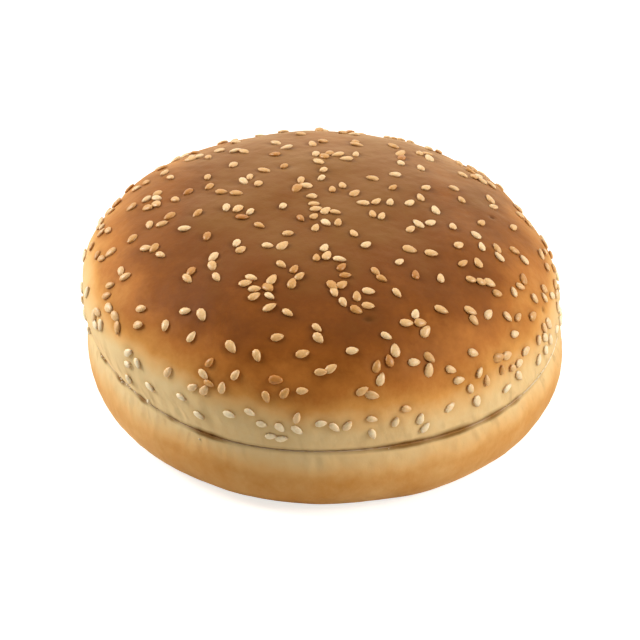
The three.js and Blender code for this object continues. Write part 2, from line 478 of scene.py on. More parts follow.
@dataclass(kw_only=True)
class Half:
    """A half of the bun: a profile turned round the axis, then waved, roughened and baked."""

    form: BunForm
    name: str
    way: float  # 1 where a wider gap lifts the cut edge, -1 where it lowers it
    widest: float  # the height of the widest ring
    power: float  # of the superellipse
    edge: float  # the radius of the rounded cut edge
    waves: tuple[Wave, ...]
    swell: tuple[Unevenness, ...]
    skin: Unevenness
    drawn: Unevenness  # the skin as the dough was drawn, near the cut
    drawn_middle: float
    drawn_reach: float
    crumb: Unevenness
    crumb_start: float  # mm past the edge
    crumb_finish: float  # where the crumb's finish starts, as a share of the edge's radius
    pale_band: float
    pale_waves: tuple[Wave, ...]
    band_edge: tuple[Unevenness, ...]
    first_step: Step
    patches: tuple[Unevenness, ...]
    golden_side: Bias
    slow_and_lit_sides: tuple[Bias, ...] = ()
    torn_share: float
    torn_reach: float
    calm_side: Bias
    row_counts: tuple[int, ...]
    face_strip: float  # mm of the cut face, beside the edge, that has rows as close as the edge's
    columns: int = 640
    cut_edge: CutEdge = CutEdge()
    edge_fade: float = 1.5  # mm over which the crust's relief fades to the cut edge
    crumb_fade: float = 2.0
    lift_reach: tuple[float, float] = (2.5, 9.0)  # along the crust, and past the edge
    torn_sides: tuple[float, float] = (0.2, 0.8)  # all round, and more to the left and right
    edge_steps: int = 8  # along the rounded cut edge
    probe: float = 0.15  # mm to either side of a point, over which its direction is taken
    probe_radius: float = 30.0  # the radius at which that is the same way round
    pole_step: float = 0.2  # how far from the axis a pole is taken, where the surface still has a slope

    def profile(self) -> Array:
        """Returns the [radius, height] points in mm from the top pole to the bottom pole."""
        raise NotImplementedError

    def place(self, radius: Array, height: Array, azimuth: Array) -> Array:
        """Returns points of the true round, moved to where the uneven half has them."""
        raise NotImplementedError

    def from_edge(self, length: Array) -> Array:
        """Returns how far along the crust from the cut edge each length is, negative past the edge."""
        raise NotImplementedError

    def later_browning(self, length: Array, past: Array, slow_and_lit: Array) -> Sequence[Array]:
        """Returns what each step after the first adds to the browning."""
        raise NotImplementedError

    def row_ends(self) -> Sequence[float]:
        """Returns the lengths between which the mesh rows are evenly spaced."""
        raise NotImplementedError

    def crust_share(self, length: Array) -> Array:
        """Returns how much of the crust's relief there is, fading to the cut edge."""
        return ease(self.from_edge(length) / self.edge_fade)

    def lengths(self) -> Array:
        """Returns the running length of each profile point."""
        steps = np.diff(self.profile(), axis=0)
        return np.concatenate([[0.0], np.cumsum(np.hypot(steps[:, 0], steps[:, 1]))])

    def base_point(self, length: Array, azimuth: Array) -> Array:
        """Returns the point at a length along the profile and an azimuth, before the relief.

        Args:
            length: Lengths along the profile in mm.
            azimuth: Angles round the bun, of the same shape.

        Returns:
            The points in mm.
        """
        outline = self.profile()
        running = self.lengths()
        radius = np.interp(length, running, outline[:, 0])
        height = np.interp(length, running, outline[:, 1])
        return self.place(radius, height, azimuth)

    def outward(self, length: Array, azimuth: Array) -> Array:
        """Returns the outward direction: the step down the profile crossed with the step round it.

        Args:
            length: Lengths along the profile in mm.
            azimuth: Angles round the bun, of the same shape.

        Returns:
            The directions, of length 1.
        """
        step = self.probe
        down = self.base_point(length + step, azimuth) - self.base_point(length - step, azimuth)
        turn = step / self.probe_radius
        round_it = self.base_point(length, azimuth + turn) - self.base_point(length, azimuth - turn)
        return unit(np.cross(down, round_it))

    def relief(self, points: Array, length: Array) -> Array:
        """Adds the swell, the skin and the drawn skin on the crust, and takes the open crumb away inside.

        Args:
            points: The points before the relief, in mm.
            length: Their lengths along the profile in mm.

        Returns:
            How far the surface stands out in mm.
        """
        away = self.from_edge(length)
        drawn = self.drawn.at(points) * bell(away - self.drawn_middle, self.drawn_reach)
        crust = relief_sum(self.swell, points) + self.skin.at(points) + drawn
        crumb = np.abs(self.crumb.at(points)) * (1.0 - ease((away + self.crumb_start) / self.crumb_fade))
        return self.crust_share(length) * crust - crumb

    def lift(self, points: Array, length: Array, azimuth: Array) -> Array:
        """Moves the cut edge by half of the gaping, which fades out along the crust and past the edge.

        Args:
            points: The points before the relief, in mm.
            length: Their lengths along the profile in mm.
            azimuth: Their angles round the bun.

        Returns:
            The rise of each point in mm.
        """
        away = self.from_edge(length)
        near = np.where(away > 0.0, bell(away, self.lift_reach[0]), bell(away, self.lift_reach[1]))
        return self.way * 0.5 * near * self.cut_edge.gape(points, azimuth)

    def surface(self, length: Array, azimuth: Array) -> Array:
        """Returns finished surface points: the base point moved outwards by the relief, then up by the lift.

        Args:
            length: Lengths along the profile in mm.
            azimuth: Angles round the bun, of the same shape.

        Returns:
            The points in mm.
        """
        points = self.base_point(length, azimuth)
        out = self.outward(length, azimuth)
        finished = points + out * self.relief(points, length)[..., None]
        finished[..., 2] += self.lift(points, length, azimuth)
        return finished

    def browning(self, points: Array, length: Array, azimuth: Array) -> Array:
        """Returns how dark each point is baked: pale at the cut, and browner by eased steps from there.

        The first step crosses the end of the pale band, whose width waves round the
        bun. Steps are longer on the slow and lit sides, and the band is golden on one side.

        Args:
            points: The points before the relief, in mm.
            length: Their lengths along the profile in mm.
            azimuth: Their angles round the bun.

        Returns:
            The browning from 0 to 1.
        """
        slow_and_lit = sum(side.at(azimuth) for side in self.slow_and_lit_sides)
        band = relief_sum(self.band_edge, points, self.pale_band + wave_sum(self.pale_waves, azimuth))
        past = self.from_edge(length) - band
        golden = self.golden_side.at(azimuth)
        first = self.first_step.share(past, slow_and_lit)
        brown = golden + (self.first_step.amount - golden) * first
        for added in self.later_browning(length, past, slow_and_lit):
            brown = brown + added
        return np.clip(brown + relief_sum(self.patches, points) * first, 0.0, 1.0)

    def torn(self, length: Array, azimuth: Array) -> Array:
        """Returns how rough the skin is: most at the cut, and more towards the bun's left and right."""
        sides = self.torn_sides[0] + self.torn_sides[1] * np.cos(azimuth) ** 2 - self.calm_side.at(azimuth)
        return self.torn_share * ease(1.0 - self.from_edge(length) / self.torn_reach) * sides

    def grid(self) -> tuple[Array, Array]:
        """Lays out the mesh points, a row for each ring.

        Returns:
            The length and the azimuth of each point.
        """
        rows = spaced(self.row_ends(), self.row_counts)
        azimuth, length = np.meshgrid(np.arange(self.columns) * FULL_TURN / self.columns, rows)
        return length, azimuth

    def fields(self, length: Array, azimuth: Array) -> dict[Field, Array]:
        """Works out the numbers that the finishes read.

        Args:
            length: Lengths along the profile in mm.
            azimuth: Angles round the bun, of the same shape.

        Returns:
            The browning, the brown of the cut's rim, partly painted shadow, and the roughness at each point.
        """
        return {
            Field.BROWNING: self.browning(self.base_point(length, azimuth), length, azimuth),
            Field.SHADE: self.cut_edge.scorch_and_shade(-self.from_edge(length), azimuth),
            Field.TORN: self.torn(length, azimuth),
        }

    def close(
        self,
        length: Array,
        points: Array,
        fields: Mapping[Field, Array],
        finishes: Sequence[bpy.types.Material],
    ) -> bpy.types.Object:
        """Closes the rings with a pole at each end, and makes the half's piece.

        Args:
            length: The length of each grid point, which sets where the crumb starts.
            points: The grid's points in mm.
            fields: The numbers at each grid point. A pole takes the mean of its ring.
            finishes: The crust's and the crumb's.

        Returns:
            The half's object.
        """
        total = self.lengths()[-1]
        poles = self.surface(np.array([self.pole_step, total - self.pole_step]), np.zeros(2))
        starts = np.concatenate([[0.0], length[:-1, 0], [total]])
        inside = self.from_edge(starts) < -self.crumb_finish * self.edge
        return make_piece(
            self.name,
            np.concatenate([poles[:1], points.reshape(-1, 3), poles[1:]]),
            round_faces(len(length), self.columns),
            {key: np.concatenate([[f[0].mean()], f.ravel(), [f[-1].mean()]]) for key, f in fields.items()},
            finishes,
            np.repeat(np.where(inside, Region.CRUMB, Region.CRUST), self.columns),
        )


@dataclass(kw_only=True)
class Crown(Half):
    """The domed upper half, chestnut brown on the dome and pale above the cut."""

    name: str = "crown_bread"
    way: float = 1.0
    widest: float = 27.0
    power: float = 2.35
    lean: tuple[float, float] = (-4.7, -1.7)
    edge: float = 0.5
    waves: tuple[Wave, ...] = (Wave(2, 0.95, -1.76), Wave(3, 0.35, 2.86), Wave(5, 0.2, 0.7))
    swell: tuple[Unevenness, ...] = (Unevenness(27.0, 0.2, 11), Unevenness(10.0, 0.05, 12))
    skin: Unevenness = Unevenness(3.4, 0.016, 13)
    drawn: Unevenness = Unevenness(3.0, 0.06, 14, stretch=(1.0, 1.0, 0.4))
    drawn_middle: float = 3.0
    drawn_reach: float = 7.0
    crumb: Unevenness = Unevenness(2.6, 0.08, 16)
    crumb_start: float = 3.0
    crumb_finish: float = 0.4
    pale_band: float = 12.0
    pale_waves: tuple[Wave, ...] = (Wave(1, 2.6, -2.69), Wave(2, 2.2, -0.4))
    band_edge: tuple[Unevenness, ...] = (Unevenness(16.0, 0.6, 21), Unevenness(4.0, 0.15, 22))
    first_step: Step = Step(0.52, 4.5, 9.0, slow_and_lit_before=2.5, slow_and_lit_length=6.0)
    dome_step: Step = Step(0.33, 1.0, 22.0, slow_and_lit_length=16.0)
    top_step: Step = Step(0.13, -38.0, 26.0)
    patches: tuple[Unevenness, ...] = (Unevenness(18.0, 0.022, 23), Unevenness(7.0, 0.01, 24))
    golden_side: Bias = Bias(318.0, 0.09)
    # browning comes later at these sides; toward the left and right panels, at 165 and 332, the paler crust
    # is partly less baked and partly painted light from the panels
    slow_and_lit_sides: tuple[Bias, ...] = (Bias(165.0, 1.0, 2), Bias(275.0, 0.2, 2), Bias(332.0, 0.6, 2))
    torn_share: float = 1.0
    torn_reach: float = 13.0
    calm_side: Bias = Bias(0.0, 0.3, 2)
    scorch_and_shade_share: tuple[float, float] = (0.6, 0.4)  # of a seed's painted contact shade and scorch: on pale skin, and more on brown
    scorch_and_shade_full: float = 0.6  # the browning from which it is full
    row_counts: tuple[int, ...] = (132, 8, 12)
    face_strip: float = 0.6
    dome_steps: int = 200
    side_steps: int = 40

    def outside(self) -> Array:
        """Returns the crust's [radius, height] points, from the apex to where the cut edge starts.

        The dome is a superellipse: radius is R * sin(t) ** (2 / p) and the height over
        the widest ring is h * cos(t) ** (2 / p). The side lies below it.

        Returns:
            The points in mm.
        """
        form = self.form
        foot = form.cut_height + form.cut_gap / 2 + self.edge
        t = np.arange(self.dome_steps + 1) / self.dome_steps * np.pi / 2
        rise = np.maximum(0.0, np.cos(t)) ** (2 / self.power)
        radius = form.radius * np.sin(t) ** (2 / self.power)
        dome = np.stack([radius, self.widest + (form.height - self.widest) * rise], axis=1)
        down = np.arange(1, self.side_steps + 1) / self.side_steps
        return np.concatenate([dome, form.side(foot, self.widest, down)])

    def profile(self) -> Array:
        """Joins the crust's outside, a quarter circle at the cut edge, and the cut face in to the axis.

        Returns:
            The [radius, height] points in mm.
        """
        form = self.form
        face = form.cut_height + form.cut_gap / 2
        t = np.arange(1, self.edge_steps + 1) / self.edge_steps * np.pi / 2
        radius = form.rim_radius - self.edge * (1 - np.cos(t))
        edge = np.stack([radius, face + self.edge * (1 - np.sin(t))], axis=1)
        return np.concatenate([self.outside(), edge, [[0.0, face]]])

    def crust_length(self) -> float:
        """Returns the length of the crust from the apex to the cut edge."""
        steps = np.diff(self.outside(), axis=0)
        return float(np.hypot(steps[:, 0], steps[:, 1]).sum())

    def from_edge(self, length: Array) -> Array:
        """Returns how far up the crust from the cut edge each length is, negative past the edge."""
        return self.crust_length() - length

    def place(self, radius: Array, height: Array, azimuth: Array) -> Array:
        """Waves the round, leans the dome, and lets the foot follow the cut.

        The lean grows in proportion to the rise over the cut, and the cut's shift
        fades out in the same proportion.

        Args:
            radius: Radii on the true round, in mm.
            height: Heights over the base, in mm.
            azimuth: Angles round the bun.

        Returns:
            The points in mm.
        """
        form = self.form
        rise = np.clip((height - form.cut_height) / (form.height - form.cut_height), 0.0, 1.0)
        reach = form.waved(self.waves, radius, height, azimuth)
        x = reach * np.cos(azimuth) + self.lean[0] * rise
        y = reach * np.sin(azimuth) + self.lean[1] * rise
        return np.stack([x, y, height + form.cut_shift(radius, azimuth) * (1.0 - rise)], axis=-1)

    def later_browning(self, length: Array, past: Array, slow_and_lit: Array) -> Sequence[Array]:
        """Returns the step to the dome's full colour, and a last step over the top of the dome, where the
        colour ends a little lighter.
        """
        return self.dome_step.brown(past, slow_and_lit), self.top_step.brown(self.from_edge(length))

    def row_ends(self) -> Sequence[float]:
        """Returns the ends of the crust, the edge with a little of the cut face, and the rest of it."""
        crust = self.crust_length()
        return 0.0, crust, crust + self.edge * np.pi / 2 + self.face_strip, self.lengths()[-1]

    def build(self, seeds: "SeedPlaces", finishes: Sequence[bpy.types.Material]) -> bpy.types.Object:
        """Builds the crown's crust and cut face as one closed mesh, dented round the seeds, with painted
        contact shade round them.

        Args:
            seeds: Where the seeds lie, and where some fell off.
            finishes: The crust's and the crumb's.

        Returns:
            The crown's object.
        """
        length, azimuth = self.grid()
        points = self.surface(length, azimuth)
        dent, shade = seeds.marks(points)
        points = points - self.outward(length, azimuth) * dent[..., None]
        fields = self.fields(length, azimuth)
        brown = ease(fields[Field.BROWNING] / self.scorch_and_shade_full)
        # painted contact shade round each seed, with some scorch, weaker on pale skin
        seeded = shade * (self.scorch_and_shade_share[0] + self.scorch_and_shade_share[1] * brown)
        fields[Field.SHADE] = np.maximum(seeded, fields[Field.SHADE])
        return self.close(length, points, fields, finishes)


@dataclass(kw_only=True)
class Heel(Half):
    """The plain lower half, golden, pale under the cut, with a flat base."""

    name: str = "heel_bread"
    way: float = -1.0
    widest: float = 13.0
    power: float = 2.4
    base_radius: float = 50.0
    base_fade: float = 4.0  # mm over which the relief fades to the base
    edge: float = 0.4
    waves: tuple[Wave, ...] = (Wave(1, 0.8, 2.27), Wave(2, 0.75, 0.71), Wave(3, 0.5, -0.81))
    swell: tuple[Unevenness, ...] = (Unevenness(26.0, 0.1, 31), Unevenness(8.0, 0.02, 32))
    skin: Unevenness = Unevenness(3.2, 0.016, 33)
    drawn: Unevenness = Unevenness(3.0, 0.05, 34, stretch=(1.0, 1.0, 0.4))
    drawn_middle: float = 2.0
    drawn_reach: float = 5.0
    crumb: Unevenness = Unevenness(2.6, 0.08, 36)
    crumb_start: float = 5.0
    crumb_finish: float = 0.6
    pale_band: float = 4.6
    pale_waves: tuple[Wave, ...] = (
        Wave(1, 1.2, -2.9),
        Wave(2, 0.6, 0.4),
        Wave(3, 0.6, -2.09),
        Wave(5, 0.3, 1.0),
    )
    band_edge: tuple[Unevenness, ...] = (Unevenness(14.0, 0.4, 41), Unevenness(4.0, 0.1, 42))
    first_step: Step = Step(0.42, 4.2, 8.4)
    foot_step: Step = Step(0.12, 11.0, 8.0)
    under_step: Step = Step(0.1, 0.0, 6.0)
    patches: tuple[Unevenness, ...] = (Unevenness(16.0, 0.02, 43), Unevenness(6.0, 0.01, 44))
    golden_side: Bias = Bias(318.0, 0.1)
    torn_share: float = 0.7
    torn_reach: float = 7.0
    calm_side: Bias = Bias(0.0, 0.0)
    row_counts: tuple[int, ...] = (12, 8, 74, 26)
    face_strip: float = 1.7
    base_strip: float = 1.0  # mm of the base that has rows as close as the side's
    side_steps: int = 30
    foot_steps: int = 120

    def profile(self) -> Array:
        """Joins the cut face, a quarter circle at the cut edge, the side, the round foot and the base.

        The foot is a superellipse: radius is B + (R - B) * cos(t) ** (2 / p), and
        height is w * (1 - sin(t) ** (2 / p)).

        Returns:
            The [radius, height] points in mm.
        """
        form = self.form
        face = form.cut_height - form.cut_gap / 2
        t = np.arange(self.edge_steps, -1, -1) / self.edge_steps * np.pi / 2
        radius = form.rim_radius - self.edge * (1 - np.cos(t))
        edge = np.stack([radius, face - self.edge * (1 - np.sin(t))], axis=1)
        down = np.arange(1, self.side_steps + 1) / self.side_steps
        side = form.side(face - self.edge, self.widest, 1 - down)
        u = np.arange(1, self.foot_steps + 1) / self.foot_steps * np.pi / 2
        inward = np.maximum(0, np.cos(u)) ** (2 / self.power)
        foot_radius = self.base_radius + (form.radius - self.base_radius) * inward
        foot = np.stack([foot_radius, self.widest * (1 - np.sin(u) ** (2 / self.power))], axis=1)
        return np.concatenate([[[0.0, face]], edge, side, foot, [[0.0, 0.0]]])

    def place(self, radius: Array, height: Array, azimuth: Array) -> Array:
        """Waves the round, and lets the top follow the cut while the base stays flat.

        Args:
            radius: Radii on the true round, in mm.
            height: Heights over the base, in mm.
            azimuth: Angles round the bun.

        Returns:
            The points in mm.
        """
        form = self.form
        reach = form.waved(self.waves, radius, height, azimuth)
        lift = form.cut_shift(radius, azimuth) * height / form.cut_height
        return np.stack([reach * np.cos(azimuth), reach * np.sin(azimuth), height + lift], axis=-1)

    def edge_length(self) -> float:
        """Returns the length where the cut edge ends and the crust begins."""
        return self.form.rim_radius - self.edge + self.edge * np.pi / 2

    def base_length(self) -> float:
        """Returns the length where the flat base begins."""
        return float(self.lengths()[-1]) - self.base_radius

    def from_edge(self, length: Array) -> Array:
        """Returns how far down the crust from the cut edge each length is, negative past the edge."""
        return length - self.edge_length()

    def crust_share(self, length: Array) -> Array:
        """Returns how much of the crust's relief there is, fading to the cut edge and to the base."""
        return super().crust_share(length) * ease((self.base_length() - length) / self.base_fade)

    def later_browning(self, length: Array, past: Array, slow_and_lit: Array) -> Sequence[Array]:
        """Returns the step to the browner foot, and that to the base."""
        onto_base = length - self.base_length()
        return self.foot_step.brown(onto_base), self.under_step.brown(onto_base)

    def row_ends(self) -> Sequence[float]:
        """Returns the ends of the cut face, the edge, the side and the base."""
        edge = self.edge_length()
        return 0.0, edge - self.face_strip, edge, self.base_length() + self.base_strip, self.lengths()[-1]

    def build(self, finishes: Sequence[bpy.types.Material]) -> bpy.types.Object:
        """Builds the heel as one closed mesh, with the crust's and the crumb's finish."""
        length, azimuth = self.grid()
        return self.close(length, self.surface(length, azimuth), self.fields(length, azimuth), finishes)


# What lies on the crust


@dataclass(frozen=True)
class Mark:
    """How a mark dents and darkens the crust, each a bell of the distance: painted contact shade with some
    scorch round a seed, an empty dent's own dark.
    """

    depth: float
    depth_width: float
    scorch_and_shade: float
    scorch_and_shade_width: float

    def at(self, away: Array) -> Array:
        """Returns the dent and the darkening at each distance."""
        dent = self.depth * bell(away, self.depth_width)
        return np.stack([dent, self.scorch_and_shade * bell(away, self.scorch_and_shade_width)])


@dataclass(frozen=True)
class SeedPlaces:
    """Where seeds lie on the crown, and the scorched dents of some that fell off."""

    length: Array  # down the crust from the apex
    azimuth: Array
    turn: Array  # of the seed's long axis, from straight down the crust
    scale: Array
    points: Array
    lost: Array  # middles of the empty dents
    lost_ways: Array  # the long axis of each
    # round a seed the darkening is painted contact shade, with some scorch of the crust
    seed_mark: Mark = Mark(0.12, 1.7, 0.34, 1.9)
    lost_mark: Mark = Mark(0.25, 1.0, 0.8, 1.0)
    lost_size: tuple[float, float] = (1.35, 0.75)  # half length and half width
    reach: float = 4.5

    def marks(self, points: Array) -> Array:
        """Works out how the seeds and the empty dents mark the crust, the deeper mark of each.

        Args:
            points: Surface points in mm.

        Returns:
            The dents in mm, then the darkening from 0 to 1, at each point: painted contact shade with some
            scorch round the seeds, and the empty dents' own dark.
        """
        flat = points.reshape(-1, 3)
        marks = np.zeros((2, len(flat)))
        for centre in self.points:
            near = np.flatnonzero(np.abs(flat[:, 0] - centre[0]) < self.reach)
            near = near[np.abs(flat[near, 1] - centre[1]) < self.reach]
            away = np.linalg.norm(flat[near] - centre, axis=1)
            marks[:, near] = np.maximum(marks[:, near], self.seed_mark.at(away))
        for centre, way in zip(self.lost, self.lost_ways):
            offset = flat - centre
            along = offset @ way
            across = np.linalg.norm(offset - along[:, None] * way, axis=1)
            away = np.hypot(along / self.lost_size[0], across / self.lost_size[1])
            marks = np.maximum(marks, self.lost_mark.at(away))
        return marks.reshape(2, *points.shape[:-1])


@dataclass
class SesameSeeds:
    """Sesame seeds baked onto the crown, fallen in small groups and denser towards the apex."""

    crown: Crown
    length: float = 3.2
    width: float = 2.05
    thickness: float = 1.05
    proud: float = 0.7
    taper: float = 0.25
    drawn_out: float = 0.06  # how much the ends are drawn out
    top_back: float = 0.1  # how far the top lies from the pointed end's side of the middle
    shapes: float = 0.12
    groups: int = 226
    group_shares: tuple[float, ...] = (0.53, 0.74, 0.88, 0.95, 1.0)
    scatter: float = 3.5
    crowding: float = 1.12
    spacing: float = 2.1
    strides: tuple[float, float] = (1.05, 0.75)  # the shortest in spacings, and how much more it may be
    least_radius: float = 5.0  # which keeps the turns near the apex small
    clearance: float = 2.6
    first_draw: int = 7
    widths: tuple[float, float] = (0.88, 1.1)
    tilt: float = 5.0  # degrees
    toast: tuple[float, float] = (0.2, 0.8)  # on brown crust: the least, and how much more it may be
    toast_draw: tuple[float, float] = (1.5, 3.6)  # the beta draw that keeps most of them pale
    golden: tuple[float, float] = (0.06, 0.6)  # the share of golden seeds, and how much more toasted
    brown_crust: float = 0.5  # the browning from which the crust counts as brown
    strays: int = 100
    stray_tries: int = 1200
    stray_gap: float = 3.2
    stray_sizes: tuple[float, float] = (0.85, 1.0)
    far: float = 99.0  # a distance that rules out no stray, put between it and the later ones
    high_share: float = 0.12  # of the strays that lie anywhere in the high band
    high_band: tuple[float, float] = (0.12, 0.62)  # as shares of the way down the crust
    low_draw: tuple[float, float] = (9.0, 1.3)  # the beta draw that crowds the others low down
    lost: int = 7
    lost_tries: int = 40
    lost_gap: float = 2.6
    lost_band: tuple[float, float] = (45.0, 66.0)
    lost_turn: tuple[float, float, float] = (1.0, 0.4, 0.6)  # which turns the empty dents mostly to X
    sides: int = 10
    ring_angles: tuple[float, ...] = (28.0, 56.0, 84.0, 125.0)

    def places(self) -> SeedPlaces:
        """Works out where the seeds lie: groups on a spiral of golden angles, in steps of equal area.

        Each group is moved a little off the spiral, and its further seeds lie one
        stride on in a random heading. A seed too near another is left out.

        Returns:
            The places of all seeds.
        """
        draws = Draws(self.first_draw)
        outline = self.crown.outside()
        steps = np.hypot(*np.diff(outline, axis=0).T)
        running = np.concatenate([[0.0], np.cumsum(steps)])
        areas = np.concatenate([[0.0], np.cumsum(np.pi * (outline[1:, 0] + outline[:-1, 0]) * steps)])
        golden = math.pi * (3 - math.sqrt(5))
        lowest = running[-1] - self.clearance
        rows: list[tuple[float, float, float, float]] = []
        placed = np.zeros((0, 3))
        for group in range(self.groups):
            area = ((group + 0.5) / self.groups) ** self.crowding * areas[-1]
            middle = float(np.interp(area, areas, running))
            radius = float(np.interp(middle, running, outline[:, 0]))
            down = middle + self.scatter * draws.spread()
            azimuth = group * golden + self.scatter * draws.spread() / max(radius, self.least_radius)
            size = draws.next()
            for _ in range(1 + sum(size > share for share in self.group_shares)):
                turn = math.pi * draws.next()
                scale = 1 + self.shapes * draws.spread()
                down = abs(down)
                radius = float(np.interp(down, running, outline[:, 0]))
                point = self.crown.base_point(np.array(down), np.array(azimuth))
                if down < lowest and np.all(np.linalg.norm(placed - point, axis=1) > self.spacing):
                    placed = np.vstack([placed, point])
                    rows.append((down, azimuth, turn, scale))
                heading = 2 * math.pi * draws.next()
                stride = self.spacing * (self.strides[0] + self.strides[1] * draws.next())
                down += stride * math.cos(heading)
                azimuth += stride * math.sin(heading) / max(radius, self.least_radius)
        length, around, turns, scales = np.concatenate([np.array(rows), self.stray_rows(placed, lowest)]).T
        points = self.crown.surface(length, around)
        return SeedPlaces(length, around, turns, scales, points, *self.lost_places(points))

    def stray_rows(self, placed: Array, lowest: float) -> Array:
        """Strews single small seeds between the groups, most of them low down, clear of the others.

        Args:
            placed: The points of the seeds in groups.
            lowest: How far down the crust a seed may lie.

        Returns:
            A row of length, azimuth, turn and scale for each stray.
        """
        rng = np.random.default_rng(RandomStart.STRAYS)
        tries = self.stray_tries
        low = rng.random(tries) > self.high_share
        low_places = rng.beta(*self.low_draw, tries)
        length = lowest * np.where(low, low_places, rng.uniform(*self.high_band, tries))
        azimuth = rng.uniform(0.0, FULL_TURN, tries)
        points = self.crown.base_point(length, azimuth)
        clear = distances(points, placed).min(axis=1) > self.stray_gap
        length, azimuth, points = length[clear], azimuth[clear], points[clear]
        gaps = distances(points, points) + np.triu(np.full((len(points), len(points)), self.far))
        alone = np.flatnonzero(gaps.min(axis=1) > self.stray_gap)[: self.strays]
        turn = rng.uniform(0.0, np.pi, alone.size)
        scale = rng.uniform(*self.stray_sizes, alone.size)
        return np.stack([length[alone], azimuth[alone], turn, scale], axis=1)

    def lost_places(self, placed: Array) -> tuple[Array, Array]:
        """Draws the dents where seeds fell off, on the dome's side and clear of the seeds that stayed.

        Args:
            placed: The points of the seeds.

        Returns:
            The middles of the dents, and their long axes.
        """
        rng = np.random.default_rng(RandomStart.LOST_SEEDS)
        length = rng.uniform(*self.lost_band, self.lost_tries)
        azimuth = rng.uniform(0.0, FULL_TURN, self.lost_tries)
        points = self.crown.surface(length, azimuth)
        clear = distances(points, placed).min(axis=1) > self.lost_gap
        ways = unit(rng.normal(size=(self.lost_tries, 3)) * np.array(self.lost_turn))
        return points[clear][: self.lost], ways[: self.lost]

    def drop(self) -> tuple[Array, Array]:
        """Works out one seed in its own axes: a flat drop, pointed at its +X end.

        A point is [a cos(u) sin(v), b sin(u) sin(v) (1 - taper cos(u)), c cos(v)], with
        u round the outline and v down from the top, and the pointed end drawn out a little.

        Returns:
            The points in mm, pole first and last, and each one's place along the seed from -1 to 1.
        """
        u, v = ring_grid(self.sides, self.ring_angles)
        along = np.cos(u) * np.sin(v)
        x = self.length / 2 * (along + self.drawn_out * along**3)
        y = self.width / 2 * np.sin(u) * np.sin(v) * (1 - self.taper * np.cos(u))
        z = self.thickness / 2 * np.cos(v)
        body = np.stack([x, y, z], axis=-1).reshape(-1, 3)
        poles = np.array([[-self.top_back, 0.0, self.thickness / 2], [0.0, 0.0, -self.thickness / 2]])
        points = np.concatenate([poles[:1], body, poles[1:]])
        return points, np.concatenate([[0.0], along.ravel(), [0.0]])

    def axes(self, places: SeedPlaces) -> Array:
        """Works out each seed's own axes: its long one is the way down the crust, turned and tilted.

        Args:
            places: Where the seeds lie.

        Returns:
            A matrix for each seed, with its length, width and height in the columns.
        """
        crown = self.crown
        step = 0.3
        out = crown.outward(places.length, places.azimuth)
        below = crown.base_point(places.length + step, places.azimuth)
        down = unit(below - crown.base_point(places.length, places.azimuth))
        across = np.cross(out, down)
        turn = places.turn[:, None]
        along = down * np.cos(turn) + across * np.sin(turn)
        rng = np.random.default_rng(RandomStart.TILTS)
        tilt = np.radians(rng.normal(0.0, self.tilt, (len(turn), 2)))
        along = unit(along + out * tilt[:, :1])
        up = unit(out - along * (out * along).sum(axis=1, keepdims=True))
        side = np.cross(up, along)
        up = unit(up + side * tilt[:, 1:])
        return np.stack([along, np.cross(up, along), up], axis=-1)

    def build(self, places: SeedPlaces, finish: bpy.types.Material) -> bpy.types.Object:
        """Builds all the seeds as one mesh.

        Args:
            places: Where the seeds lie.
            finish: Their finish.

        Returns:
            The seeds' object.
        """
        shape, along = self.drop()
        count = len(places.scale)
        rng = np.random.default_rng(RandomStart.SEED_SHAPES)
        wide = rng.uniform(*self.widths, count)
        sizes = np.stack([places.scale, places.scale * wide, np.ones(count)], axis=1)
        local = shape[None] * sizes[:, None, :]
        rest = self.crown.surface(places.length, places.azimuth)
        lift = self.crown.outward(places.length, places.azimuth) * (self.proud - self.thickness / 2)
        points = (rest + lift)[:, None, :] + np.einsum("sij,svj->svi", self.axes(places), local)
        baked = ease(self.crown.browning(rest, places.length, places.azimuth) / self.brown_crust)
        toast = baked * (self.toast[0] + self.toast[1] * rng.beta(*self.toast_draw, count))
        toast = np.clip(toast + self.golden[1] * baked * (rng.random(count) < self.golden[0]), 0.0, 1.0)
        return make_piece(
            "sesame_seeds",
            points.reshape(-1, 3),
            repeated_faces(len(self.ring_angles), self.sides, count),
            {Field.TOAST: np.repeat(toast, len(shape)), Field.ALONG: np.tile(along, count)},
            [finish],
        )


